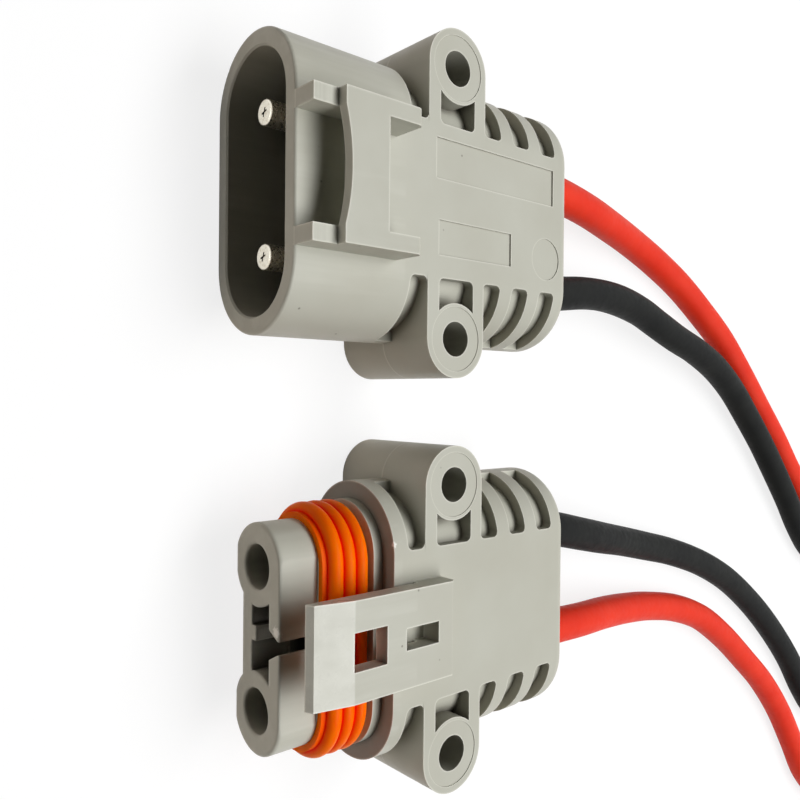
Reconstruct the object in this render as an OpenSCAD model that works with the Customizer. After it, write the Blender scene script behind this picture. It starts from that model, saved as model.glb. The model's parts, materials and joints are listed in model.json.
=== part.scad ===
// Two-pole power jumper cable: a male and a female sealed connector joined by a red and a black wire.
// Both connectors lie on their backs with the latch side up (+Z), mating faces towards -Y,
// wires leaving towards +Y. The male is on the -X side. Millimetres.

/* [Connector body] */
// Distance between the centres of the two connectors as they lie
connector_spacing = 61.6; // [58:0.2:70]
// Thickness of a connector, back face to latch face
body_t = 20; // [19.6:0.1:21]
// Half height of the flat part of the rounded outline
flat_half = 10.5; // [10.2:0.1:11]
// Rear face, measured from the line through the ear holes
rear_y = 26.8; // [26:0.1:28]
// Round on the rear rim
rear_round = 2.2; // [1:0.1:2.4]
// Height of the cooling ribs above the core
rib_h = 1.7; // [1.2:0.1:2]
// Width of one rear slot between two ribs
slot_w = 3.8; // [3:0.1:4]
// Width of one rib
rib_w = 2.8; // [2.4:0.1:3]
// Distance from the middle at which the slots begin
slot_x = 11.25; // [11:0.05:12]
// Thickness of the spine left between the slots of the two faces
spine_t = 4; // [3:0.1:6]
// Round in the inner corners of the slots and windows
slot_round = 0.9; // [0.4:0.1:1.2]

/* [Ears] */
// Distance between the two ear holes
hole_spacing = 40; // [39:0.5:42]
// Diameter of an ear hole
hole_d = 5.2; // [4.5:0.1:5.6]
// Radius of the round end of an ear
ear_r = 5.8; // [5.6:0.05:6]
// Radius of the boss round the hole
boss_r = 5.3; // [5:0.05:5.4]
// Half length of the window between the boss and the body
window_half = 3.5; // [3:0.1:3.8]
// Depth of the round mark sunk into the boss face
boss_sink_depth = 0.12; // [0.05:0.01:0.3]

/* [Contacts and wires] */
// Distance between the two contacts of a connector
contact_pitch = 19.6; // [19:0.1:20]
// Diameter of a pin
pin_d = 3.6; // [3:0.1:3.8]
// Outer diameter of a wire
wire_d = 6.5; // [6:0.1:6.6]
// Diameter of the bare stranded conductor
strand_d = 4.2; // [3.6:0.1:4.2]
// Diameter of the rear bore that takes a wire seal
seal_bore_d = 11.6; // [11:0.1:12]

/* [Male shroud] */
// Front rim of the shroud
shroud_y = -28.5; // [-30:0.1:-27]
// Wall of the shroud
shroud_wall = 2.45; // [2:0.05:2.6]
// Floor of the shroud
shroud_floor_y = -11.5; // [-12:0.1:-11]
// Tip of a pin
pin_tip_y = -27; // [-27.5:0.1:-25]
// Round on the outer edge of the rim
rim_round = 0.4; // [0.2:0.1:1]
// Bevel on the inner edge of the rim
rim_bevel = 0.25; // [0.2:0.05:0.8]

/* [Latch keeper] */
// Inner edge of a keeper rail, from the middle
rail_in = 7.4; // [7:0.1:8]
// Outer edge of a keeper rail
rail_out = 9.7; // [9:0.1:10]
// Height of the front part of a rail
rail_h = 4; // [3:0.1:4.5]
// Height of the bridge and of the rear part of a rail
bridge_h = 5.6; // [5.2:0.1:6.5]
// Thickness of the bridge plate
bridge_t = 1.5; // [1.3:0.1:2]
// Front edge of the bridge
bridge_front_y = -24.7; // [-25.5:0.1:-24]
// Rear edge of the bridge between the rails
bridge_rear_y = -17.7; // [-19:0.1:-17]
// Rear end of the rails
rail_rear_y = -11.8; // [-13:0.1:-11]
// How far the bridge's front edge bows in
bridge_bow = 1; // [0.5:0.1:1.5]

/* [Female nose] */
// Front of the nose
nose_y = -27.6; // [-28.5:0.1:-26.5]
// Outer radius of the two socket towers
tower_r = 6; // [5.8:0.1:6.2]
// Diameter of the mouth of a tower
tower_bore_d = 6.2; // [5.8:0.1:6.4]
// Front of the flange
flange_y = -11.6; // [-12:0.1:-11]
// Front of the collar behind the seal
collar_y = -13.2; // [-13.4:0.1:-12.6]
// Front of the interface seal
seal_y = -21.6; // [-22:0.1:-21]
// Length of the interface seal
seal_l = 7.2; // [6.6:0.1:7.4]

/* [Latch arm] */
// Half width of the arm
arm_half = 6.75; // [6:0.05:7]
// Height of the arm's outer surface above the latch face
arm_h = 3.2; // [2.8:0.1:3.6]
// Thickness of the arm
arm_t = 2.4; // [2:0.1:2.6]
// Tip of the arm
arm_tip_y = -26.95; // [-27.4:0.05:-26]
// Rear end of the arm's root
arm_root_y = -2.7; // [-4:0.1:-2.5]

/* [Hidden] */
$fn = 64;

// Colours
housing_grey = [0.74, 0.73, 0.69];
seal_orange = [0.96, 0.42, 0.05];
nickel = [0.78, 0.77, 0.74];
copper = [0.80, 0.50, 0.34];
wire_red = [0.86, 0.16, 0.12];
wire_black = [0.10, 0.10, 0.11];

// Shared body
mid_z = body_t / 2;
out_r = body_t / 2;
core_r = out_r - rib_h;
contact_x = contact_pitch / 2;
ear_x = hole_spacing / 2;
front_slot_l = 3.2;
front_slot_y = -ear_r - front_slot_l;
slot_pitch = slot_w + rib_w;
boss_sink_r = 4.8;
// Each slot or window: from, to and how far out it reaches
past = 1;
slot_reach = ear_x + ear_r;
pockets = concat(
    [[front_slot_y, -ear_r, slot_reach], [-window_half, window_half, ear_x]],
    [for (i = [0:2]) [ear_r + i * slot_pitch, ear_r + i * slot_pitch + slot_w, slot_reach]]
);

// The part's origin is under the middle of the box round the two connectors
shift_y = -(shroud_y + rear_y) / 2;

// Cavities behind the mating face
fit_gap = 0.1;
contact_stop_y = -8;
contact_bore_r = 4.6;
seal_stop_y = 12;

// Contacts
shoulder_l = 2.5;
shoulder_r = contact_bore_r - fit_gap;
barrel_r = 3.4;
barrel_end_y = 8.4;
barrel_floor_y = -3;
strand_r = strand_d / 2;
barrel_bore_r = strand_r + 0.05;
pin_r = pin_d / 2;
pin_tip_round = 0.3;
tip_mark = [1.3, 0.28, 0.2];
tip_mark_turns = [20, 75];
socket_r = tower_bore_d / 2 - fit_gap;
socket_mouth_y = nose_y + 6;
socket_floor_y = -10;
pin_clearance = 0.05;
socket_lead = 0.5;

// Wire seals
wire_r = wire_d / 2;
wire_seal_y = 13;
wire_seal_l = 9;
wire_seal_ribs = 3;
wire_seal_rib_r = 0.9;
wire_seal_r = seal_bore_d / 2 - 0.05;
wire_seal_root_r = wire_seal_r - 0.6;
wire_gap = 0.05;

// Male details
cavity_r = out_r - shroud_wall;
key_half = 0.6;
key_drop = 3.2;
key_y = -18;
catch_half = 2.3;
catch_h = 1.2;
catch_front_y = -20.8;
catch_rear_y = -19.3;
mark_depth = 0.25;
mark_1 = [[-9.1, -4.2], [-3.2, 22.3]];
mark_2 = [[2.8, -3.6], [7.9, 12]];
ejector_at = [5.8, 20.6];
ejector_r = 3.4;
ejector_depth = 0.15;
rail_end_round = 1;

// Female details
collar_r = cavity_r - 0.15;
tower_round = 0.4;
tower_boss_r = tower_r - 0.6;
nose_low_z = mid_z - tower_r + 0.8;
nose_top_z = mid_z + tower_r - 0.2;
mouth_bevel = 0.15;
key_cavity_rear_y = -14;
near_wall_t = 2.5;
key_cavity_low_z = mid_z - 1.1;
web_low_z = mid_z - 3.5;
slit_half = 0.9;
slit_inner_half = 2;
slit_lip_t = 0.4;
tab_x = -0.7;
tab_half = 1;
tab_h = 2.4;
seal_ribs = 3;
seal_rib_r = 1.15;
seal_out_r = 8.2;
seal_root_r = 7.2;
seal_lip_l = 0.9;
seal_lip_r = 6.9;
arm_z = body_t + arm_h;
arm_tip_edge = 0.25;
arm_tip_slope = [0.5, 1.25];
arm_bevel_y = -20.8;
arm_gap_end_y = -8;
arm_rear_drop = 0.6;
window_1 = [-20.9, -15.4, 2.55];
window_2 = [-12, -6, 1.5];

// Wire routes, from the male's crimp barrel to the female's. Each lies on the floor once it has come down.
lie_z = wire_r;
exit_z = mid_z;
male_x = -connector_spacing / 2;
female_x = connector_spacing / 2;
wire_start_y = barrel_end_y + shift_y;
wire_exit_y = 28;
tube_sides = 12;
red_route = concat(
    [[male_x - contact_x, wire_start_y, exit_z], [male_x - contact_x, wire_exit_y, exit_z]],
    [[-40.3, 37, 9.8], [-39.3, 47, 8.8], [-38, 59, 6.4], [-36.2, 71, 4.2]],
    [for (p = [
        [-33.2, 82], [-29, 92], [-23.6, 102], [-17.2, 112.5], [-9.6, 122], [-1, 132], [8, 142.5], [18, 153],
        [26.5, 163.5], [33, 175], [37.5, 187], [42.5, 199], [51, 209], [63, 215.5], [76, 218], [90, 217],
        [103, 211.5], [113.5, 202], [119, 189.5], [117.5, 176], [109.5, 165.5], [98, 157], [86.5, 148],
        [76, 137.5], [67, 126], [59, 115], [52.2, 103.5], [48, 92]
    ]) [p[0], p[1], lie_z]],
    [[45.4, 80, 3.6], [43.8, 69, 4.7], [42.5, 58, 6.6], [41.5, 47, 8.8], [40.8, 37, 9.8]],
    [[female_x + contact_x, wire_exit_y, exit_z], [female_x + contact_x, wire_start_y, exit_z]]
);
black_route = concat(
    [[male_x + contact_x, wire_start_y, exit_z], [male_x + contact_x, wire_exit_y, exit_z]],
    [
        [-21.7, 37, 9.8], [-22.7, 47, 9.4], [-22.6, 57, 8.7], [-21.2, 67, 7.9], [-18.8, 75.5, 7.3],
        [-16.2, 84, 6.9], [-13.5, 94, 6.5], [-9.8, 104.5, 5.9], [-4.6, 114.5, 5.2], [2.2, 124, 4.6],
        [9.8, 133, 4.4], [18, 141.5, 4.3], [27, 150.5, 4.1], [36, 159.5, 3.6]
    ],
    [for (p = [
        [43, 168.5], [47.5, 179.5], [51.5, 191], [59.5, 201], [71, 205.5], [83, 203.5], [92, 195.5],
        [95.5, 184.5], [92, 172.5], [84, 163.5], [73, 154], [62, 142], [52.5, 129.5], [44.5, 116.5],
        [38.5, 103], [34.3, 90]
    ]) [p[0], p[1], lie_z]],
    [[31.4, 78, 3.7], [28.9, 67, 5], [26.8, 57, 6.9], [24.6, 47, 8.8], [22.4, 37, 9.8]],
    [[female_x - contact_x, wire_exit_y, exit_z], [female_x - contact_x, wire_start_y, exit_z]]
);

// Placing

module at_male() {
    translate([male_x, shift_y, 0]) children();
}

module at_female() {
    translate([female_x, shift_y, 0]) children();
}

module both_sides() {
    for (side = [0, 1]) mirror([side, 0, 0]) children();
}

// A turned solid about the contact axis at x, from a profile of radius and y
module turned(x) {
    translate([x, 0, mid_z]) rotate([-90, 0, 0]) rotate_extrude() children();
}

// A straight run across the connector, from the same profile
module run(half) {
    translate([half, 0, mid_z]) rotate([0, -90, 0]) linear_extrude(2 * half) {
        children();
        mirror([1, 0]) children();
    }
}

// A rounded-end solid: the profile turned at both ends and run between them
module stadium(half) {
    turned(-half) children();
    turned(half) children();
    run(half) children();
}

// Profile of a plain, rounded or bevelled end, as radius by y
module profile(r, from_y, to_y, front_round = 0, rear_round = 0) {
    translate([0, from_y + front_round]) square([r, to_y - from_y - front_round - rear_round]);
    if (front_round > 0) {
        translate([0, from_y]) square([r - front_round, front_round * 2]);
        translate([r - front_round, from_y + front_round]) circle(front_round);
    }
    if (rear_round > 0) {
        translate([0, to_y - 2 * rear_round]) square([r - rear_round, rear_round * 2]);
        translate([r - rear_round, to_y - rear_round]) circle(rear_round);
    }
}

module bevelled_mouth(r, mouth_y, floor_y, bevel) {
    polygon([
        [0, mouth_y - past], [r + bevel + past, mouth_y - past],
        [r, mouth_y + bevel], [r, floor_y], [0, floor_y]
    ]);
}

// Outline in y and z, extruded across the connector
module across(half) {
    translate([-half, 0, 0]) rotate([90, 0, 90]) linear_extrude(2 * half) children();
}

// Shared rear body

module ears() {
    both_sides() {
        translate([ear_x, 0, 0]) cylinder(r = ear_r, h = body_t);
        translate([flat_half, -ear_r, 0]) cube([ear_x - flat_half, 2 * ear_r, body_t]);
    }
}

// A slot seen from above, round in its two inner corners
module pocket_outline(reach, length) {
    translate([slot_round, 0]) square([reach - slot_round, length]);
    translate([0, slot_round]) square([slot_round * 2, length - 2 * slot_round]);
    for (y = [slot_round, length - slot_round]) translate([slot_round, y]) circle(slot_round);
}

module body_pockets() {
    pocket_h = (body_t - spine_t) / 2 + past;
    difference() {
        both_sides() for (p = pockets, low = [-past, mid_z + spine_t / 2])
            translate([slot_x, p[0], low]) linear_extrude(pocket_h)
                pocket_outline(p[2] - slot_x, p[1] - p[0]);
        stadium(flat_half) profile(core_r, front_slot_y - past, rear_y);
        both_sides() translate([ear_x, 0, -past]) cylinder(r = boss_r, h = body_t + 2 * past);
    }
}

module ear_holes() {
    both_sides() translate([ear_x, 0, 0]) {
        translate([0, 0, -past]) cylinder(d = hole_d, h = body_t + 2 * past);
        for (low = [boss_sink_depth - past, body_t - boss_sink_depth])
            translate([0, 0, low]) cylinder(r = boss_sink_r, h = past);
    }
}

// Stepped bores for the contacts and the wire seals, with a front hole of the given radius
module contact_bores(front_r, front_y) {
    for (x = [-contact_x, contact_x]) turned(x) {
        translate([0, front_y]) square([front_r, contact_stop_y - front_y + past]);
        translate([0, contact_stop_y]) square([contact_bore_r, seal_stop_y - contact_stop_y + past]);
        translate([0, seal_stop_y]) square([seal_bore_d / 2, rear_y - seal_stop_y + past]);
    }
}

// Male connector

module keeper_side() {
    top = body_t + bridge_h;
    translate([rail_in, 0, 0]) rotate([90, 0, 90]) linear_extrude(rail_out - rail_in) {
        polygon([
            [shroud_y, body_t], [shroud_y, body_t + rail_h], [bridge_front_y, body_t + rail_h],
            [bridge_front_y, top], [rail_rear_y - rail_end_round, top], [rail_rear_y, top - rail_end_round],
            [rail_rear_y, body_t]
        ]);
        translate([rail_rear_y - rail_end_round, top - rail_end_round]) circle(rail_end_round);
    }
}

module keeper_bridge() {
    bow_r = (pow(rail_in, 2) + pow(bridge_bow, 2)) / (2 * bridge_bow);
    low = body_t + bridge_h - bridge_t;
    difference() {
        translate([-rail_out, bridge_front_y, low])
            cube([2 * rail_out, bridge_rear_y - bridge_front_y, bridge_t]);
        translate([0, bridge_front_y + bridge_bow - bow_r, low - past])
            cylinder(r = bow_r, h = bridge_t + 2 * past, $fn = 200);
    }
}

// Rails and bridge that take the mating latch arm
module latch_keeper() {
    color(housing_grey) at_male() {
        both_sides() keeper_side();
        keeper_bridge();
    }
}

// Square ends of the rim under the rails, whose fronts are flush with it
module rail_seats() {
    side = 2 * rim_round;
    both_sides() translate([rail_in, shroud_y, body_t - side]) cube([rail_out - rail_in, side, side]);
}

module catch_tooth() {
    across(catch_half) polygon([
        [catch_front_y, body_t - past], [catch_front_y, body_t], [catch_rear_y - 0.6, body_t + catch_h],
        [catch_rear_y, body_t + catch_h], [catch_rear_y, body_t - past]
    ]);
}

module face_marks() {
    for (m = [mark_1, mark_2])
        translate([m[0][0], m[0][1], body_t - mark_depth]) cube([m[1][0] - m[0][0], m[1][1] - m[0][1], past]);
    translate([ejector_at[0], ejector_at[1], body_t - ejector_depth]) cylinder(r = ejector_r, h = past);
}

module male_housing() {
    color(housing_grey) at_male() {
        difference() {
            union() {
                stadium(flat_half) profile(out_r, shroud_y, rear_y, rim_round, rear_round);
                ears();
                rail_seats();
                catch_tooth();
            }
            body_pockets();
            ear_holes();
            face_marks();
            stadium(flat_half) bevelled_mouth(cavity_r, shroud_y, shroud_floor_y, rim_bevel);
            contact_bores(pin_r + fit_gap, shroud_floor_y - past);
        }
        translate([-key_half, key_y, mid_z + cavity_r - key_drop])
            cube([2 * key_half, shroud_floor_y - key_y + past, key_drop + past]);
    }
}

// Female connector

// Key pocket between the towers, the relief behind the far web and the slit in the near wall
module nose_cavity() {
    key_cavity_h = nose_top_z - near_wall_t - key_cavity_low_z;
    difference() {
        union() {
            translate([-contact_x, nose_y - past, key_cavity_low_z])
                cube([contact_pitch, key_cavity_rear_y - nose_y + past, key_cavity_h]);
            translate([-contact_x, nose_y - past, mid_z - tower_r - past])
                cube([contact_pitch, seal_y - nose_y + past, web_low_z - mid_z + tower_r + past]);
        }
        for (x = [-contact_x, contact_x]) turned(x) profile(tower_boss_r, nose_y - past, rear_y);
        translate([tab_x - tab_half, nose_y, key_cavity_low_z - past])
            cube([2 * tab_half, key_cavity_rear_y - nose_y, tab_h + past]);
    }
    translate([0, seal_y, 0]) rotate([90, 0, 0]) linear_extrude(seal_y - nose_y + past) polygon([
        [-slit_half, nose_top_z + past], [-slit_half, nose_top_z - slit_lip_t],
        [-slit_inner_half, nose_top_z - near_wall_t], [-slit_inner_half, mid_z],
        [slit_inner_half, mid_z], [slit_inner_half, nose_top_z - near_wall_t],
        [slit_half, nose_top_z - slit_lip_t], [slit_half, nose_top_z + past]
    ]);
}

// Nose from one y to another, so that the flattened part in front of the seal can be a node of its own
module nose(from_y, to_y, low_z = 0, top_z = body_t) {
    difference() {
        intersection() {
            stadium(contact_x) profile(tower_r, nose_y, 0, tower_round, 0);
            translate([-contact_pitch, from_y, low_z])
                cube([2 * contact_pitch, to_y - from_y, top_z - low_z]);
        }
        nose_cavity();
        contact_bores(tower_bore_d / 2, nose_y + mouth_bevel);
        for (x = [-contact_x, contact_x])
            turned(x) bevelled_mouth(tower_bore_d / 2, nose_y, nose_y + 2, mouth_bevel);
    }
}

module female_nose() {
    color(housing_grey) at_female() nose(nose_y, seal_y, nose_low_z, nose_top_z);
}

module latch_arm() {
    low = arm_z - arm_t;
    color(housing_grey) at_female() difference() {
        across(arm_half) polygon([
            [arm_tip_y, low], [arm_tip_y, low + arm_tip_edge],
            [arm_tip_y + arm_tip_slope[0], low + arm_tip_slope[1]], [arm_bevel_y, arm_z],
            [arm_root_y - arm_rear_drop, arm_z], [arm_root_y, arm_z - arm_rear_drop],
            [arm_root_y, body_t], [arm_gap_end_y, body_t], [arm_gap_end_y, low]
        ]);
        for (w = [window_1, window_2])
            translate([-w[2], w[0], body_t]) cube([2 * w[2], w[1] - w[0], arm_h + past]);
    }
}

module female_housing() {
    color(housing_grey) at_female() difference() {
        union() {
            stadium(flat_half) profile(out_r, flange_y, rear_y, 0, rear_round);
            stadium(flat_half) profile(collar_r, collar_y, 0);
            nose(seal_y, flange_y + past);
            ears();
        }
        body_pockets();
        ear_holes();
        contact_bores(tower_bore_d / 2, seal_y - past);
    }
}

// Three-ribbed seal that sits on the nose
module interface_seal() {
    rib_pitch = (seal_l - seal_lip_l) / seal_ribs;
    color(seal_orange) at_female() difference() {
        stadium(contact_x) {
            translate([0, seal_y]) square([seal_lip_r, seal_l]);
            translate([0, seal_y + seal_lip_l]) square([seal_root_r, seal_l - seal_lip_l]);
            for (i = [0:seal_ribs - 1])
                translate([seal_out_r - seal_rib_r, seal_y + seal_lip_l + (i + 0.5) * rib_pitch])
                    circle(seal_rib_r);
        }
        stadium(contact_x) profile(tower_r, seal_y - past, seal_y + seal_l + past);
    }
}

// Contacts

module crimp_barrel(x) {
    turned(x) difference() {
        union() {
            translate([0, contact_stop_y]) square([shoulder_r, shoulder_l]);
            translate([0, contact_stop_y]) square([barrel_r, barrel_end_y - contact_stop_y]);
        }
        translate([0, barrel_floor_y]) square([barrel_bore_r, barrel_end_y - barrel_floor_y + past]);
    }
}

module pin(x) {
    color(nickel) {
        crimp_barrel(x);
        difference() {
            turned(x) profile(pin_r, pin_tip_y, contact_stop_y + shoulder_l / 2, pin_tip_round, 0);
            for (turn = tip_mark_turns) translate([x, pin_tip_y, mid_z]) rotate([0, turn, 0])
                cube([tip_mark[0], 2 * tip_mark[2], tip_mark[1]], center = true);
        }
    }
}

module socket(x) {
    color(nickel) difference() {
        union() {
            crimp_barrel(x);
            turned(x) profile(socket_r, socket_mouth_y, contact_stop_y + shoulder_l / 2);
        }
        turned(x) bevelled_mouth(pin_r + pin_clearance, socket_mouth_y, socket_floor_y, socket_lead);
    }
}

module red_pin() at_male() pin(-contact_x);
module black_pin() at_male() pin(contact_x);
module black_socket() at_female() socket(-contact_x);
module red_socket() at_female() socket(contact_x);

// Wire seals and stripped conductor ends

module wire_seal(x) {
    rib_pitch = wire_seal_l / wire_seal_ribs;
    color(seal_orange) turned(x) difference() {
        union() {
            translate([0, wire_seal_y]) square([wire_seal_root_r, wire_seal_l]);
            for (i = [0:wire_seal_ribs - 1])
                translate([wire_seal_r - wire_seal_rib_r, wire_seal_y + (i + 0.5) * rib_pitch])
                    circle(wire_seal_rib_r);
        }
        translate([0, wire_seal_y - past]) square([wire_r + wire_gap, wire_seal_l + 2 * past]);
    }
}

module strands(x) {
    color(copper) turned(x) translate([0, barrel_floor_y]) square([strand_r, barrel_end_y - barrel_floor_y]);
}

module male_red_wire_seal() at_male() wire_seal(-contact_x);
module male_black_wire_seal() at_male() wire_seal(contact_x);
module female_black_wire_seal() at_female() wire_seal(-contact_x);
module female_red_wire_seal() at_female() wire_seal(contact_x);
module male_red_strands() at_male() strands(-contact_x);
module male_black_strands() at_male() strands(contact_x);
module female_black_strands() at_female() strands(-contact_x);
module female_red_strands() at_female() strands(contact_x);

// Wires: one tube swept along the route, a ring of points at each place on it

function unit(v) = v / norm(v);
function heading(route, i) = unit(route[min(i + 1, len(route) - 1)] - route[max(i - 1, 0)]);
function ring(route, i) =
    let (ahead = heading(route, i), right = unit(cross(ahead, [0, 0, 1])), up = cross(right, ahead))
    [for (k = [0:tube_sides - 1]) let (a = 360 * (k + 0.5) / tube_sides)
        route[i] + wire_r * (cos(a) * right + sin(a) * up)];

module swept_wire(route) {
    n = tube_sides;
    last = len(route) - 1;
    points = [for (i = [0:last]) each ring(route, i)];
    start_cap = [for (k = [n - 1:-1:0]) k];
    end_cap = [for (k = [0:n - 1]) last * n + k];
    sides = [for (i = [0:last - 1], k = [0:n - 1], half = [0, 1])
        let (a = i * n + k, b = i * n + (k + 1) % n)
        half == 0 ? [a, b, b + n] : [a, b + n, a + n]];
    polyhedron(points, concat([start_cap], sides, [end_cap]));
}

module red_wire() color(wire_red) swept_wire(red_route);
module black_wire() color(wire_black) swept_wire(black_route);

male_housing();
latch_keeper();
female_housing();
female_nose();
latch_arm();
interface_seal();
red_pin();
black_pin();
red_socket();
black_socket();
male_red_wire_seal();
male_black_wire_seal();
female_red_wire_seal();
female_black_wire_seal();
male_red_strands();
male_black_strands();
female_red_strands();
female_black_strands();
red_wire();
black_wire();
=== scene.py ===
import json
import math
import random

import bpy
from mathutils import Matrix, Vector


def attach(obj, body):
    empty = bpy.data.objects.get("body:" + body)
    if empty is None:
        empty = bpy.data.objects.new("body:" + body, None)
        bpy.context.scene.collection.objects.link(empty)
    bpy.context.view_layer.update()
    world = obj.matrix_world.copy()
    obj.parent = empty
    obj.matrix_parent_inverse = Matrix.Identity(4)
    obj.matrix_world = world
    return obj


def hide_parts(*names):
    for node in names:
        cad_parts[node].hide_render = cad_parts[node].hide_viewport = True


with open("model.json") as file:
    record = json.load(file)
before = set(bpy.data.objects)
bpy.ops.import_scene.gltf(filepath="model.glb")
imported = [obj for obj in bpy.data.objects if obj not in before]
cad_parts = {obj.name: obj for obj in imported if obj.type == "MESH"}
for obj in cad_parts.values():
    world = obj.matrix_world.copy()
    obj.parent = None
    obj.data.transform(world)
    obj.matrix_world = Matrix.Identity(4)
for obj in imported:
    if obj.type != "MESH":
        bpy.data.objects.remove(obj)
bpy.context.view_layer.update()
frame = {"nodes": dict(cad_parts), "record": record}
nodes = frame["nodes"]
scene = bpy.context.scene
scene.view_settings.view_transform = "Standard"

# Sizes and places are millimetres in the part's frame, apart from the studio's, which are metres
MM = 0.001
ROOT = "root"
X, Y, Z = range(3)

# Camera: focal length in photograph pixels over an 800-pixel square, and its own axes in the part's frame
PHOTO_PX = 800
FOCAL_PX = 794.3
SENSOR_MM = 36.0
CAMERA_CLIP = 5.0
CAMERA_AT = Vector((-2.44, -82.30, 103.93)) * MM
CAMERA_RIGHT = Vector((-0.009, 0.7577, 0.6526))
CAMERA_FORWARD = Vector((0.0063, 0.6526, -0.7577))

# Connectors: middles and fronts, from the mounts
MOUNTS = {mount["name"]: Vector(mount["pos_m"]) / MM for mount in frame["record"]["mounts"]}
MALE_X = MOUNTS["male_ears"].x
FEMALE_X = MOUNTS["female_ears"].x
MID_Z = MOUNTS["male_ears"].z
SHROUD_FRONT_Y = MOUNTS["male_mouth"].y
NOSE_FRONT_Y = MOUNTS["female_nose"].y

# Connectors: places where a finish, a worn mark, painted shade or a painted highlight starts, stops or fades
EAR_START_Y = (-9.5, -9.0)
KEEPER_FOOT_Z = (20.4, 20.8)
FLANGE_FRONT_Y = -10.75
ARM_BEVEL_Y = -19.95
RAIL_STEP_Y = -23.85
RAIL_TOP_Z = 24.0
BODY_TOP_Z = 20.0

# Wires: routes from crimp to crimp, and a radius that wavers slowly along them
WIRE_R = 3.25
WIRE_LIE = WIRE_R
CRIMP_Y = 9.25
ROUTE_STEPS = 8
ROUND_STEPS = 6
WAVER_RATES = (0.09, 0.21, 0.37)
RED_ROUTE = (
    [(-40.6, CRIMP_Y, 10), (-40.6, 28, 10)]
    + [(-40.3, 37, 9.8), (-39.3, 47, 8.8), (-38, 59, 6.4), (-36.2, 71, 4.2)]
    + [(x, y, WIRE_LIE) for x, y in (
        (-33.2, 82), (-29, 92), (-23.6, 102), (-17.2, 112.5), (-9.6, 122), (-1, 132), (8, 142.5), (18, 153),
        (26.5, 163.5), (33, 175), (37.5, 187), (42.5, 199), (51, 209), (63, 215.5), (76, 218), (90, 217),
        (103, 211.5), (113.5, 202), (119, 189.5), (117.5, 176), (109.5, 165.5), (98, 157), (86.5, 148),
        (76, 137.5), (67, 126), (59, 115), (52.2, 103.5), (48, 92))]
    + [(45.4, 80, 3.6), (43.8, 69, 4.7), (42.5, 58, 6.6), (41.5, 47, 8.8), (40.8, 37, 9.8)]
    + [(40.6, 28, 10), (40.6, CRIMP_Y, 10)]
)
BLACK_ROUTE = (
    [(-21, CRIMP_Y, 10), (-21, 28, 10)]
    + [(-21.7, 37, 9.8), (-22.7, 47, 9.4), (-22.6, 57, 8.7), (-21.2, 67, 7.9), (-18.8, 75.5, 7.3)]
    + [(-16.2, 84, 6.9), (-13.5, 94, 6.5), (-9.8, 104.5, 5.9), (-4.6, 114.5, 5.2), (2.2, 124, 4.6)]
    + [(9.8, 133, 4.4), (18, 141.5, 4.3), (27, 150.5, 4.1), (36, 159.5, 3.6)]
    + [(x, y, WIRE_LIE) for x, y in (
        (43, 168.5), (47.5, 179.5), (51.5, 191), (59.5, 201), (71, 205.5), (83, 203.5), (92, 195.5),
        (95.5, 184.5), (92, 172.5), (84, 163.5), (73, 154), (62, 142), (52.5, 129.5), (44.5, 116.5),
        (38.5, 103), (34.3, 90))]
    + [(31.4, 78, 3.7), (28.9, 67, 5), (26.8, 57, 6.9), (24.6, 47, 8.8), (22.4, 37, 9.8)]
    + [(21, 28, 10), (21, CRIMP_Y, 10)]
)
# Lengths are in metres
WIRES = (
    {"colour": "red", "route": RED_ROUTE, "length": 0.517, "waver": 0.006, "seed": 3},
    {"colour": "black", "route": BLACK_ROUTE, "length": 0.462, "waver": 0.012, "seed": 8},
)


# Camera

def add_camera():
    data = bpy.data.cameras.new("camera")
    data.sensor_width = SENSOR_MM
    data.lens = FOCAL_PX / PHOTO_PX * SENSOR_MM
    data.clip_start = CAMERA_CLIP * MM
    cam = bpy.data.objects.new("camera", data)
    scene.collection.objects.link(cam)
    back = -CAMERA_FORWARD.normalized()
    up = back.cross(CAMERA_RIGHT.normalized()).normalized()
    right = up.cross(back)
    turn = Matrix((right, up, back)).transposed().to_4x4()
    cam.matrix_world = Matrix.Translation(CAMERA_AT) @ turn
    scene.camera = cam


# Materials

# Places of the colour sockets on a mix node
MIX_INPUTS = (0, 6, 7)
MIX_OUTPUT = 2
# Rays for each shading point, for the dark and light marks and for softened edges
SHADE_SAMPLES = 8
SPOT_NOISE = {"scale": 2600}
SPOT_RIM = (0.8, 1.1)


def srgb(r, g, b):
    """Linear colour from 0 to 255 display values."""
    def lin(v):
        v /= 255
        return v / 12.92 if v <= 0.04045 else ((v + 0.055) / 1.055) ** 2.4
    return (lin(r), lin(g), lin(b), 1.0)


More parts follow.
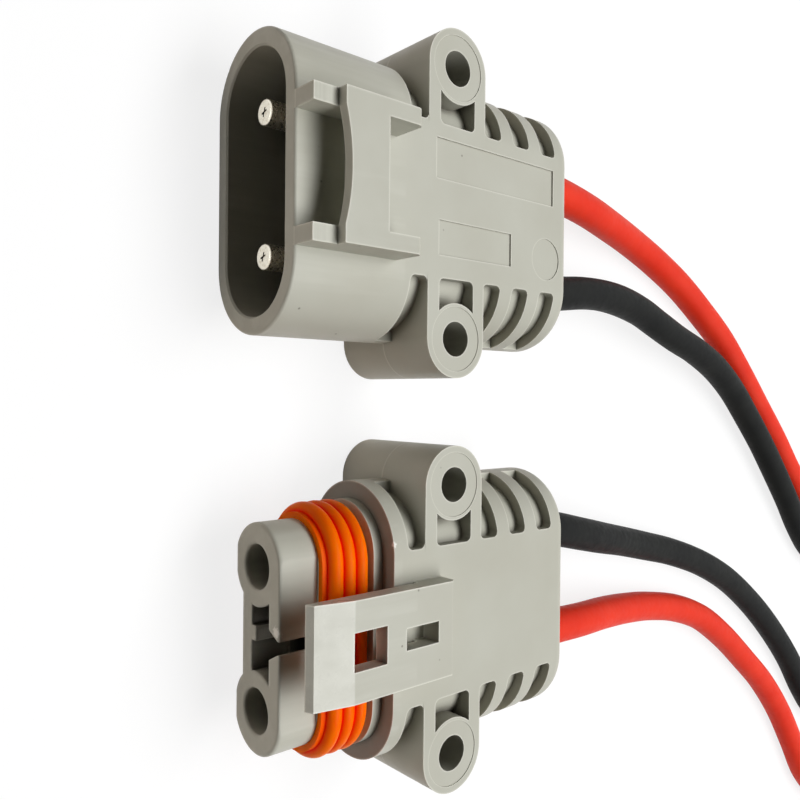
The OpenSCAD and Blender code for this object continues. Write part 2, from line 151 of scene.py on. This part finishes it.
class Look:
    """A Principled material with its nodes wired in object coordinates."""

    def __init__(self, name):
        self.mat = bpy.data.materials.new(name)
        self.mat.use_nodes = True
        self.tree = self.mat.node_tree
        self.bsdf = self.tree.nodes["Principled BSDF"]
        self.coord = self.add("ShaderNodeTexCoord").outputs["Object"]

    def add(self, kind, **settings):
        node = self.tree.nodes.new(kind)
        for key, value in settings.items():
            setattr(node, key, value)
        return node

    def link(self, out, into):
        self.tree.links.new(out, into)

    def put(self, value, socket):
        """Link an output or set a plain value."""
        if hasattr(value, "is_linked"):
            self.link(value, socket)
        else:
            socket.default_value = value

    def set(self, **values):
        """Plain values on the shader's own sockets."""
        for key, value in values.items():
            self.bsdf.inputs[key.replace("_", " ")].default_value = value

    def noise(self, scale, detail=2.0, rough=0.5, stretch=None):
        """Noise with the scale in cells per metre."""
        tex = self.add("ShaderNodeTexNoise")
        tex.inputs["Scale"].default_value = scale
        tex.inputs["Detail"].default_value = detail
        tex.inputs["Roughness"].default_value = rough
        source = self.coord
        if stretch:
            mapping = self.add("ShaderNodeMapping")
            mapping.inputs["Scale"].default_value = stretch
            self.link(self.coord, mapping.inputs["Vector"])
            source = mapping.outputs["Vector"]
        self.link(source, tex.inputs["Vector"])
        return tex.outputs["Fac"]

    def ramp(self, fac, places, low, high):
        """From the low colour at the first place to the high colour at the second."""
        node = self.add("ShaderNodeValToRGB")
        for element, place, colour in zip(node.color_ramp.elements, places, (low, high)):
            element.position = place
            element.color = colour
        self.link(fac, node.inputs["Fac"])
        return node.outputs["Color"]

    def span(self, fac, low, high, from_low=0.3, from_high=0.7):
        node = self.add("ShaderNodeMapRange")
        node.inputs["From Min"].default_value = from_low
        node.inputs["From Max"].default_value = from_high
        node.inputs["To Min"].default_value = low
        node.inputs["To Max"].default_value = high
        self.link(fac, node.inputs["Value"])
        return node.outputs["Result"]

    def math(self, operation, a, b=0.0):
        node = self.add("ShaderNodeMath", operation=operation)
        self.put(a, node.inputs[0])
        self.put(b, node.inputs[1])
        return node.outputs[0]

    def tint(self, tone, colour, mask, share=None):
        """A colour laid over the tone where the mask is one, at a share that is a number or a second mask."""
        if share is not None:
            mask = self.math("MULTIPLY", mask, share)
        node = self.add("ShaderNodeMix", data_type="RGBA")
        for value, place in zip((mask, tone, colour), MIX_INPUTS):
            self.put(value, node.inputs[place])
        return node.outputs[MIX_OUTPUT]

    def place(self, axis):
        """Distance along one of the part's axes, in millimetres."""
        split = self.add("ShaderNodeSeparateXYZ")
        self.link(self.coord, split.inputs[0])
        return self.math("MULTIPLY", split.outputs[axis], 1 / MM)

    def near(self, axis, at, reach):
        """One on a plane across the axis, fading to nothing at the reach."""
        away = self.math("ABSOLUTE", self.math("SUBTRACT", self.place(axis), at))
        return self.span(away, 1.0, 0.0, 0.0, reach)

    def specks(self, scale, size, share):
        """Sparse round specks that fade from half their size: the share of cells that have one."""
        cells = self.add("ShaderNodeTexVoronoi")
        cells.inputs["Scale"].default_value = scale
        self.link(self.coord, cells.inputs["Vector"])
        dot = self.span(cells.outputs["Distance"], 1.0, 0.0, size / 2, size)
        pick = self.add("ShaderNodeSeparateColor")
        self.link(cells.outputs["Color"], pick.inputs[0])
        chosen = self.math("LESS_THAN", pick.outputs[0], share)
        return self.math("MULTIPLY", dot, chosen)

    def spot(self, at, reach):
        """One at a point, fading to nothing over a ragged rim at the reach."""
        away = self.add("ShaderNodeVectorMath", operation="DISTANCE")
        self.link(self.coord, away.inputs[0])
        away.inputs[1].default_value = Vector(at) * MM
        ragged = self.math("MULTIPLY", self.noise(**SPOT_NOISE), reach * MM)
        rim = [share * reach * MM for share in SPOT_RIM]
        return self.span(self.math("ADD", away.outputs["Value"], ragged), 1.0, 0.0, *rim)

    def within(self, mid_x, half_gap, radius, joined):
        """One inside two round holes along Y either side of the middle, or in the slot that joins them."""
        off_middle = self.math("ABSOLUTE", self.math("SUBTRACT", self.place(X), mid_x))
        across = self.math("SUBTRACT", off_middle, half_gap)
        if joined:
            across = self.math("MAXIMUM", across, 0.0)
        up = self.math("SUBTRACT", self.place(Z), MID_Z)
        square = self.math("ADD", self.math("MULTIPLY", across, across), self.math("MULTIPLY", up, up))
        return self.math("LESS_THAN", square, radius ** 2)

    def closed_in(self, reach, openness, inside=False):
        """One where the solid closes in within the reach or, with inside on, along its outer edges."""
        near = self.add("ShaderNodeAmbientOcclusion", inside=inside, only_local=True, samples=SHADE_SAMPLES)
        near.inputs["Distance"].default_value = reach * MM
        return self.span(near.outputs["AO"], 1.0, 0.0, *openness)

    def bumps(self, *layers, soft=0.0):
        """Each layer: height, strength and depth, over edges shaded as rounds of the soft radius."""
        normal = None
        if soft:
            bevel = self.add("ShaderNodeBevel", samples=SHADE_SAMPLES)
            bevel.inputs["Radius"].default_value = soft * MM
            normal = bevel.outputs["Normal"]
        for height, strength, depth in layers:
            node = self.add("ShaderNodeBump")
            node.inputs["Strength"].default_value = strength
            node.inputs["Distance"].default_value = depth * MM
            self.link(height, node.inputs["Height"])
            if normal is not None:
                self.link(normal, node.inputs["Normal"])
            normal = node.outputs["Normal"]
        self.link(normal, self.bsdf.inputs["Normal"])


# Moulded plastic: colours
PLASTIC_LIGHT = srgb(190, 190, 178)
PLASTIC_DARK = srgb(183, 182, 169)
# Pale, for the parting line and for worn edges with a painted highlight
PLASTIC_EDGE = srgb(226, 225, 214)
# Painted shade in inside corners
PLASTIC_CORNER = srgb(112, 108, 98)
# Painted shade: in hollows, in caves inside the front mouldings, and deepest in the holes
PLASTIC_HOLLOW = srgb(84, 78, 70)
PLASTIC_CAVE = srgb(48, 44, 40)
PLASTIC_DEEP = srgb(18, 15, 13)
PLASTIC_SPECK = srgb(112, 108, 98)
# Pale: fine lines on the rail tops, and the worn latch tip, where it is partly a painted sheen
PLASTIC_PALE_SHEEN = srgb(200, 200, 188)
PLASTIC_STREAK = srgb(204, 204, 193)
PLASTIC_NICK = srgb(240, 238, 230)

# Moulded plastic: gloss, and how rough the whole, the arm and its worn tip are
PLASTIC_GLOSS = 0.18
RUBBED_GLOSS = 0.32
PLASTIC_ROUGH = (0.36, 0.46)
ARM_ROUGHER = 0.12
TIP_SMOOTHER = 0.24
TIP_FADE = 0.1

# Moulded plastic: noises, the noise values over which each mark fades in, and how strong it gets
TONE_NOISE = {"scale": 60, "detail": 4.0}
TONE_SPAN = (0.32, 0.68)
ROUGH_NOISE = {"scale": 420, "detail": 3.0}
STREAK_NOISE = {"scale": 340, "detail": 3.0, "rough": 0.6, "stretch": (1.0, 0.07, 1.0)}
STREAK_SPAN = (0.48, 0.72)
STREAK_SHARE = 0.4
SMEAR_NOISE = {"scale": 420, "detail": 5.0, "rough": 0.65, "stretch": (1.0, 0.5, 1.0)}
SMEAR_SPAN = (0.38, 0.66)
SMEAR_LEAST = 0.45
COMB_NOISE = {"scale": 900, "stretch": (0.05, 2.2, 0.05)}
COMB_SPAN = (0.38, 0.66)
COMB_SHARE = 0.6
COMB_SKIN = 0.2
SPECKS = {"scale": 260, "size": 0.06, "share": 0.5}
SPECK_SHARE = 0.7
GRAIN = {"scale": 5200, "strength": 0.12, "depth": 0.03}
RIPPLE = {"scale": 700, "strength": 0.05, "depth": 0.08}

# Moulded plastic: reach of each mark of painted shade, or of worn edge with a painted highlight, the openness
# over which it fades out, and its strength
EDGE = {"reach": 0.35, "openness": (0.5, 0.9), "inside": True}
CORNER = {"reach": 1.2, "openness": (0.4, 0.9)}
CORNER_SHARE = 0.35
HOLLOW = {"reach": 6.0, "openness": (0.1, 0.6)}
HOLLOW_SHARE_REAR = 0.6
HOLLOW_SHARE_FRONT = 0.75
CAVE = {"reach": 16.0, "openness": (0.2, 0.6)}
DEEP_SHARE = 0.42
# Painted shade on the flange's front face, behind the seal
DIM_REACH = 0.2
DIM_SHARE = 0.6
# Shares of the pale colour on worn edges, partly a painted highlight: most plastic, the arm and the nose
EDGE_WEAR_AND_HIGHLIGHT = 0.7
ARM_WEAR_AND_HIGHLIGHT = 0.95
NOSE_WEAR_AND_HIGHLIGHT = 0.6
NOSE_SOFT = 0.8

# Moulded plastic: the parting line round the body and ears, and two nicks
PARTING_REACH = 0.22
PARTING_SHARE = 0.45
PARTING_STRENGTH = 0.8
PARTING_DEPTH = 0.06
FLANGE_NICK = {"at": (18.4, FLANGE_FRONT_Y, BODY_TOP_Z), "reach": 1.0}
SLIT_NICK = {"at": (28.8, -26.7, 15.0), "reach": 1.5}

# Moulded plastic: the holes with painted shade that deepens inwards, each masked to just past its wall
SHROUD_INSIDE = {"mid_x": MALE_X, "half_gap": 10.5, "radius": 7.75, "joined": True}
SHROUD_FADE_Y = (SHROUD_FRONT_Y + 0.05, SHROUD_FRONT_Y + 8.15)
TOWER_BORES = {"mid_x": FEMALE_X, "half_gap": 9.8, "radius": 3.15, "joined": False}
BORE_FADE_Y = (NOSE_FRONT_Y - 0.05, NOSE_FRONT_Y + 4.75)


def moulded_tone(look, front):
    """Faintly clouded grey, with flow streaks along the front mouldings."""
    tone = look.ramp(look.noise(**TONE_NOISE), TONE_SPAN, PLASTIC_DARK, PLASTIC_LIGHT)
    streaks = look.span(look.noise(**STREAK_NOISE), 0.0, STREAK_SHARE, *STREAK_SPAN)
    return look.tint(tone, PLASTIC_STREAK, front, streaks)


def rub_and_sheen_tip(look, tone, rough):
    """Smeared satin on the latch tip, ahead of the arm's bevel: paler as worn plastic and as a painted sheen,
    and smoother, with a duller arm behind it.
    """
    tip = look.span(look.place(Y), 1.0, 0.0, ARM_BEVEL_Y - TIP_FADE, ARM_BEVEL_Y + TIP_FADE)
    smears = look.span(look.noise(**SMEAR_NOISE), SMEAR_LEAST, 1.0, *SMEAR_SPAN)
    # Paler tip: worn plastic, partly a painted sheen
    tone = look.tint(tone, PLASTIC_PALE_SHEEN, tip, smears)
    arm_rough = look.math("ADD", rough, ARM_ROUGHER)
    return tone, look.math("SUBTRACT", arm_rough, look.math("MULTIPLY", tip, TIP_SMOOTHER))


def comb_rails(look, tone):
    """Fine lines on the tops of the two rails, ahead of their step."""
    ahead = look.math("LESS_THAN", look.place(Y), RAIL_STEP_Y)
    on_top = look.math("GREATER_THAN", look.place(Z), RAIL_TOP_Z - COMB_SKIN)
    lines = look.span(look.noise(**COMB_NOISE), 0.0, COMB_SHARE, *COMB_SPAN)
    return look.tint(tone, PLASTIC_PALE_SHEEN, look.math("MULTIPLY", ahead, on_top), lines)


def shade_hollows(look, tone, front, hole, fade_y):
    """Painted shade in hollows, darkest inside the front mouldings, and painted shade in a hole that deepens
    from its mouth inwards.
    """
    strength = look.span(front, HOLLOW_SHARE_REAR, HOLLOW_SHARE_FRONT, 0.0, 1.0)
    hollow = look.math("MULTIPLY", look.closed_in(**HOLLOW), strength)
    cave = look.closed_in(**CAVE)
    if hole:
        inside = look.within(**hole)
        shallow = look.math("MULTIPLY", inside, look.span(look.place(Y), 1.0, 0.0, *fade_y))
        past_mouth = look.math("SUBTRACT", 1.0, shallow)
        hollow = look.math("MULTIPLY", hollow, past_mouth)
        cave = look.math("MULTIPLY", cave, past_mouth)
    tone = look.tint(tone, PLASTIC_HOLLOW, hollow)
    tone = look.tint(tone, PLASTIC_CAVE, cave, front)
    if hole:
        deep = look.math("MULTIPLY", look.math("SUBTRACT", inside, shallow), front)
        tone = look.tint(tone, PLASTIC_DEEP, deep, DEEP_SHARE)
    return tone


def plastic(name, worn_edge_highlight=EDGE_WEAR_AND_HIGHLIGHT, soft=0.0, rubbed_sheen=False, combed=False, hole=None, fade_y=None, dim_y=None,
            nick=None):
    """Moulded warm grey plastic, with painted shade in its corners and hollows, worn edges with a painted
    highlight, and where asked the marks of one moulding and painted shade on the flange front.
    """
    look = Look(name)
    front = look.span(look.place(Y), 1.0, 0.0, *EAR_START_Y)
    rear = look.span(look.place(Y), 0.0, 1.0, *EAR_START_Y)
    tone = moulded_tone(look, front)
    rough = look.span(look.noise(**ROUGH_NOISE), *PLASTIC_ROUGH)
    edge = look.closed_in(**EDGE)
    if rubbed_sheen:
        tone, rough = rub_and_sheen_tip(look, tone, rough)
    if combed:
        tone = comb_rails(look, tone)
        edge = look.math("MULTIPLY", edge, look.span(look.place(Z), 0.0, 1.0, *KEEPER_FOOT_Z))
    parting = look.math("MULTIPLY", look.near(Z, MID_Z, PARTING_REACH), rear)
    tone = look.tint(tone, PLASTIC_EDGE, parting, PARTING_SHARE)
    # Painted shade in hollows, caves and holes
    tone = shade_hollows(look, tone, front, hole, fade_y)
    # Painted shade in inside corners, where the solid closes in within a little over a millimetre
    tone = look.tint(tone, PLASTIC_CORNER, look.closed_in(**CORNER), CORNER_SHARE)
    if dim_y is not None:
        # Painted shade on the flange's front face, behind the seal
        tone = look.tint(tone, PLASTIC_HOLLOW, look.near(Y, dim_y, DIM_REACH), DIM_SHARE)
    # Worn edges made paler: partly a painted highlight along every outer edge
    tone = look.tint(tone, PLASTIC_EDGE, edge, worn_edge_highlight)
    tone = look.tint(tone, PLASTIC_SPECK, look.specks(**SPECKS), SPECK_SHARE)
    if nick:
        tone = look.tint(tone, PLASTIC_NICK, look.spot(**nick))
    look.link(tone, look.bsdf.inputs["Base Color"])
    look.link(rough, look.bsdf.inputs["Roughness"])
    look.set(Specular_IOR_Level=RUBBED_GLOSS if rubbed_sheen else PLASTIC_GLOSS)
    skin = [(look.noise(layer["scale"]), layer["strength"], layer["depth"]) for layer in (GRAIN, RIPPLE)]
    look.bumps(*skin, (parting, PARTING_STRENGTH, PARTING_DEPTH), soft=soft)
    return look.mat


# Silicone: colours, noises, bumps and the light that scatters under its skin
SEAL_LIGHT = srgb(255, 114, 0)
SEAL_DARK = srgb(255, 104, 0)
# Painted shade: a deeper red down in the seal's grooves
SEAL_GROOVE = srgb(250, 40, 0)
RED_LIGHT = srgb(232, 58, 34)
RED_DARK = srgb(225, 49, 27)
BLACK_LIGHT = srgb(34, 35, 34)
BLACK_DARK = srgb(27, 28, 28)
SILICONE_NOISE = {"scale": 140, "detail": 3.0}
SILICONE_SPAN = (0.3, 0.7)
SILICONE_ROUGH_NOISE = {"scale": 900, "detail": 3.0}
SILICONE_ROUGH_SPREAD = (-0.06, 0.08)
SILICONE_WAVES = {"scale": 160, "strength": 0.04, "depth": 0.2}
SILICONE_GRAIN = {"scale": 4200, "strength": 0.02, "depth": 0.04}
GROOVE = {"reach": 2.4, "openness": (0.6, 0.98)}
SCATTER_REACH = 1.2 * MM
SCATTER_SHARES = (1.0, 0.25, 0.1)


def silicone(name, light, dark, rough, gloss, scatter=0.0, groove=None):
    """Smooth silicone rubber, with painted shade, a deeper colour, down in its grooves where asked."""
    look = Look(name)
    tone = look.ramp(look.noise(**SILICONE_NOISE), SILICONE_SPAN, dark, light)
    if groove:
        # Painted shade: a deeper colour down in the grooves
        tone = look.tint(tone, groove, look.closed_in(**GROOVE))
    look.link(tone, look.bsdf.inputs["Base Color"])
    spread = [rough + change for change in SILICONE_ROUGH_SPREAD]
    look.link(look.span(look.noise(**SILICONE_ROUGH_NOISE), *spread), look.bsdf.inputs["Roughness"])
    look.set(Specular_IOR_Level=gloss, Subsurface_Weight=scatter, Subsurface_Scale=SCATTER_REACH)
    look.set(Subsurface_Radius=SCATTER_SHARES)
    layers = (SILICONE_WAVES, SILICONE_GRAIN)
    look.bumps(*[(look.noise(layer["scale"]), layer["strength"], layer["depth"]) for layer in layers])
    return look.mat


# Metal: colours, noises, darkening where the surface closes in, and the turned surface
PIN_LIGHT = srgb(236, 230, 214)
PIN_DARK = srgb(212, 203, 184)
PIN_MARK = srgb(70, 60, 46)
COPPER_LIGHT = srgb(214, 140, 96)
COPPER_DARK = srgb(196, 120, 78)
COPPER_MARK = srgb(120, 66, 40)
METAL_NOISE = {"scale": 1800, "detail": 4.0, "rough": 0.6}
METAL_SPAN = (0.34, 0.52)
METAL_ROUGH_NOISE = {"scale": 2500}
METAL_ROUGH_SPREAD = (-0.06, 0.10)
TURNING_NOISE = {"scale": 900, "stretch": (0.4, 3.0, 0.4)}
TURNING_STRENGTH = 0.05
TURNING_DEPTH = 0.02
RECESS_DARKENING = {"reach": 0.4, "openness": (0.55, 0.9)}


def metal(name, light, dark, mark, rough):
    """Turned metal, darker where its surface closes in."""
    look = Look(name)
    tone = look.ramp(look.noise(**METAL_NOISE), METAL_SPAN, dark, light)
    tone = look.tint(tone, mark, look.closed_in(**RECESS_DARKENING))
    look.link(tone, look.bsdf.inputs["Base Color"])
    spread = [rough + change for change in METAL_ROUGH_SPREAD]
    look.link(look.span(look.noise(**METAL_ROUGH_NOISE), *spread), look.bsdf.inputs["Roughness"])
    look.set(Metallic=1.0)
    look.bumps((look.noise(**TURNING_NOISE), TURNING_STRENGTH, TURNING_DEPTH))
    return look.mat


male_look = plastic("male_plastic", hole=SHROUD_INSIDE, fade_y=SHROUD_FADE_Y)
female_look = plastic("female_plastic", nick=FLANGE_NICK, dim_y=FLANGE_FRONT_Y)
keeper_look = plastic("keeper_plastic", combed=True)
arm_look = plastic("arm_plastic", rubbed_sheen=True, worn_edge_highlight=ARM_WEAR_AND_HIGHLIGHT)
nose_look = plastic("nose_plastic", worn_edge_highlight=NOSE_WEAR_AND_HIGHLIGHT, soft=NOSE_SOFT, nick=SLIT_NICK, hole=TOWER_BORES,
                    fade_y=BORE_FADE_Y)
seal_look = silicone("seal_silicone", SEAL_LIGHT, SEAL_DARK, rough=0.36, gloss=0.04, scatter=0.6,
                     groove=SEAL_GROOVE)
red_look = silicone("red_silicone", RED_LIGHT, RED_DARK, rough=0.5, gloss=0.12, scatter=0.3)
black_look = silicone("black_silicone", BLACK_LIGHT, BLACK_DARK, rough=0.5, gloss=0.05)
pin_look = metal("contact_plating", PIN_LIGHT, PIN_DARK, PIN_MARK, rough=0.28)
copper_look = metal("bare_copper", COPPER_LIGHT, COPPER_DARK, COPPER_MARK, rough=0.35)

WIRE_LOOKS = {"red": red_look, "black": black_look}
LOOKS = {
    "male_housing": male_look, "female_housing": female_look, "nose": nose_look, "keeper": keeper_look,
    "arm": arm_look, "seal": seal_look, "pin": pin_look, "socket": pin_look, "strands": copper_look
}


# Pieces

def smooth_line(points, steps):
    """Catmull-Rom line through the points."""
    pts = [Vector(p) * MM for p in points]
    ends = [pts[0] * 2 - pts[1]] + pts + [pts[-1] * 2 - pts[-2]]
    line = []
    for i in range(1, len(ends) - 2):
        a, b, c, d = ends[i - 1:i + 3]
        for s in range(steps):
            t = s / steps
            line.append(0.5 * (2 * b + (c - a) * t + (2 * a - 5 * b + 4 * c - d) * t ** 2
                               + (3 * b - a - 3 * c + d) * t ** 3))
    line.append(pts[-1])
    return line


def add_wire(colour, route, length, waver, seed):
    """The jacket of one wire, from crimp to crimp."""
    rng = random.Random(seed)
    line = smooth_line(route, ROUTE_STEPS)
    name = f"{colour}_wire_jacket"
    data = bpy.data.curves.new(name, "CURVE")
    data.dimensions = "3D"
    data.bevel_depth = WIRE_R * MM
    data.bevel_resolution = ROUND_STEPS
    data.use_fill_caps = True
    spline = data.splines.new("POLY")
    spline.points.add(len(line) - 1)
    phases = [rng.uniform(0, math.tau) for _ in WAVER_RATES]
    for i, (point, at) in enumerate(zip(spline.points, line)):
        point.co = (*at, 1.0)
        waves = [math.sin(i * rate + phase) for rate, phase in zip(WAVER_RATES, phases)]
        point.radius = 1.0 + waver * (sum(waves) / len(waves) - 1)
    data.materials.append(WIRE_LOOKS[colour])
    obj = bpy.data.objects.new(name, data)
    scene.collection.objects.link(obj)
    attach(obj, ROOT)
    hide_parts(f"{colour}_wire")


def dress_nodes():
    """Give each CAD node that stays the material of its name, or of the word that its name ends in."""
    for node_name, obj in nodes.items():
        material = LOOKS.get(node_name) or LOOKS.get(node_name.rsplit("_", 1)[-1])
        if material:
            obj.data.materials.clear()
            obj.data.materials.append(material)


# Studio, in metres and watts

FLOOR_SIZE = 6
FLOOR_SHADE = 0.2
FLOOR_FADE = (0.3, 0.6)
FLOOR_BOUNCE = (0.74, 0.64, 0.56, 1)
FLOOR_PALE = (0.95, 0.95, 0.95, 1)
FLOOR_GLOW = 1.03
WORLD_TINT = (1.0, 0.94, 0.86, 1)
WORLD_LEVEL = 0.01
BACKGROUND_WHITE = (1.0, 1.0, 1.0, 1.0)
BACKGROUND_LEVEL = 1.0
LAMPS = (
    {"name": "overhead", "at": (0.12, 0.345, 0.91), "aim": (0, 0.03, 0),
     "width": 1.5, "height": 0.4, "watts": 12.6},
    {"name": "front", "at": (0, -0.6, 0.03), "aim": (0, 0, 0.01),
     "width": 0.6, "height": 0.06, "watts": 0.36},
)


def seen_directly(tree):
    """One for camera, mirror and glass rays, nothing for the rest."""
    rays = tree.nodes.new("ShaderNodeLightPath")
    seen = rays.outputs["Is Camera Ray"]
    for other in ("Is Glossy Ray", "Is Transmission Ray"):
        most = tree.nodes.new("ShaderNodeMath")
        most.operation = "MAXIMUM"
        tree.links.new(seen, most.inputs[0])
        tree.links.new(rays.outputs[other], most.inputs[1])
        seen = most.outputs[0]
    return seen


def mix_shaders(tree, share, a, b):
    mix = tree.nodes.new("ShaderNodeMixShader")
    for out, into in zip((share, a, b), mix.inputs):
        tree.links.new(out, into)
    return mix.outputs[0]


def fading_shade(tree):
    """The share of shadow that the floor shows, fading out away from the part."""
    place = tree.nodes.new("ShaderNodeTexCoord")
    away = tree.nodes.new("ShaderNodeVectorMath")
    away.operation = "LENGTH"
    tree.links.new(place.outputs["Object"], away.inputs[0])
    shade = tree.nodes.new("ShaderNodeMapRange")
    for name, value in zip(("From Min", "From Max", "To Min", "To Max"), (*FLOOR_FADE, FLOOR_SHADE, 0.0)):
        shade.inputs[name].default_value = value
    tree.links.new(away.outputs["Value"], shade.inputs["Value"])
    return shade.outputs[0]


def add_floor():
    """White to the camera with a faint shadow, pale and warm to the light that bounces."""
    bpy.ops.mesh.primitive_plane_add(size=FLOOR_SIZE, location=(0, 0, 0))
    floor = bpy.context.object
    floor.name = "floor"
    mat = bpy.data.materials.new("floor_white")
    mat.use_nodes = True
    tree = mat.node_tree
    tree.nodes.remove(tree.nodes["Principled BSDF"])
    bounce = tree.nodes.new("ShaderNodeBsdfDiffuse")
    bounce.inputs["Color"].default_value = FLOOR_BOUNCE
    pale = tree.nodes.new("ShaderNodeBsdfDiffuse")
    pale.inputs["Color"].default_value = FLOOR_PALE
    glow = tree.nodes.new("ShaderNodeEmission")
    glow.inputs["Strength"].default_value = FLOOR_GLOW
    shown = mix_shaders(tree, fading_shade(tree), glow.outputs[0], pale.outputs[0])
    out = mix_shaders(tree, seen_directly(tree), bounce.outputs[0], shown)
    tree.links.new(out, tree.nodes["Material Output"].inputs[0])
    floor.data.materials.append(mat)


def add_world():
    """A faint warm fill, and white where it is seen directly."""
    world = bpy.data.worlds.new("studio")
    scene.world = world
    world.use_nodes = True
    tree = world.node_tree
    lit = tree.nodes["Background"]
    lit.inputs["Color"].default_value = WORLD_TINT
    lit.inputs["Strength"].default_value = WORLD_LEVEL
    white = tree.nodes.new("ShaderNodeBackground")
    white.inputs["Color"].default_value = BACKGROUND_WHITE
    white.inputs["Strength"].default_value = BACKGROUND_LEVEL
    out = mix_shaders(tree, seen_directly(tree), lit.outputs[0], white.outputs[0])
    tree.links.new(out, tree.nodes["World Output"].inputs[0])


def add_lamp(name, at, aim, width, height, watts):
    data = bpy.data.lights.new(name, "AREA")
    data.shape = "ELLIPSE"
    data.size = width
    data.size_y = height
    data.energy = watts
    lamp = bpy.data.objects.new(name, data)
    scene.collection.objects.link(lamp)
    lamp.location = at
    lamp.rotation_euler = (Vector(aim) - Vector(at)).to_track_quat("-Z", "Y").to_euler()


add_camera()
for wire in WIRES:
    add_wire(**wire)
dress_nodes()
add_floor()
add_world()
for lamp in LAMPS:
    add_lamp(**lamp)
